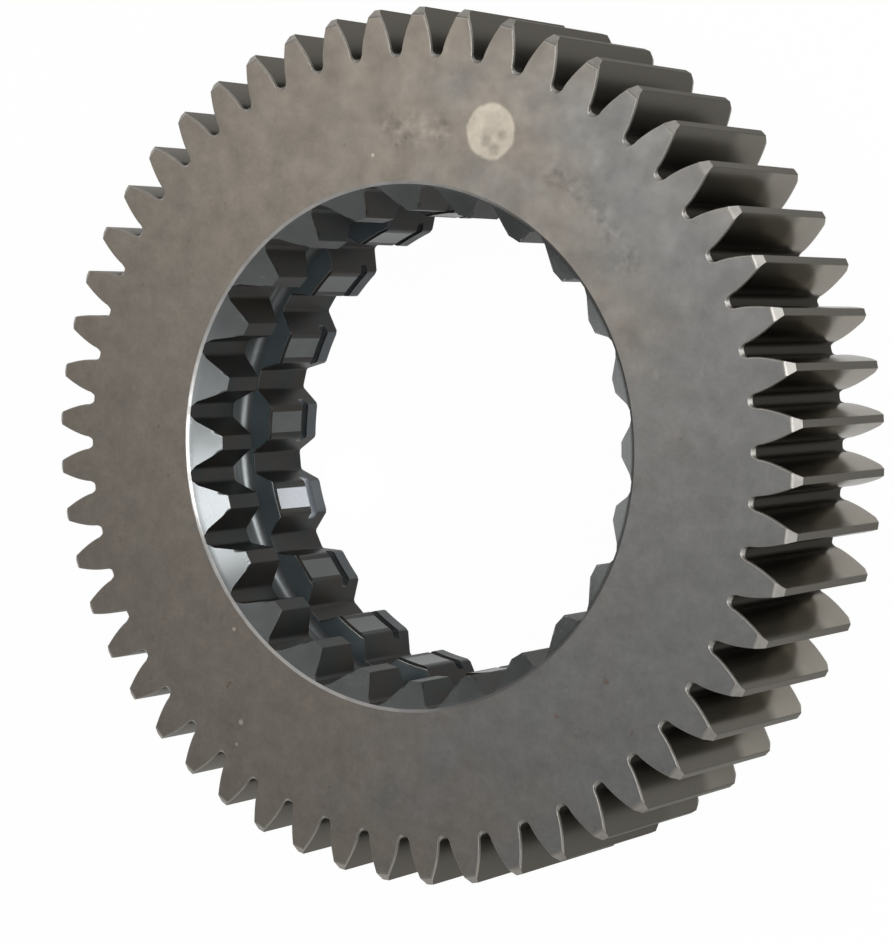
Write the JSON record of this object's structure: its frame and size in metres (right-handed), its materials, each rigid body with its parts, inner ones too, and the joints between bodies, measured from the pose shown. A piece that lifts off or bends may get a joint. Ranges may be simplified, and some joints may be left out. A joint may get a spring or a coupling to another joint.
{
  "type": "main drive gear",
  "caption": "Steel spur gear with a wide toothed rim, a flat front face, clutch teeth with a conical lead-in inside the bore and a row of spline lugs behind them.",
  "frame": {"origin": "centre of the rear face, on the gear's axis", "axes": "+Z along the axis from the rear face to the front face, +X through the middle of a gear tooth"},
  "size_m": [0.1736, 0.1736, 0.04],
  "materials": {
    "gear_steel": "matt ground faces with dark oiled tooth flanks and bright worn edges"
  },
  "bodies": {
    "root": {"drive_gear": "gear_steel"}
  },
  "joints": []
}
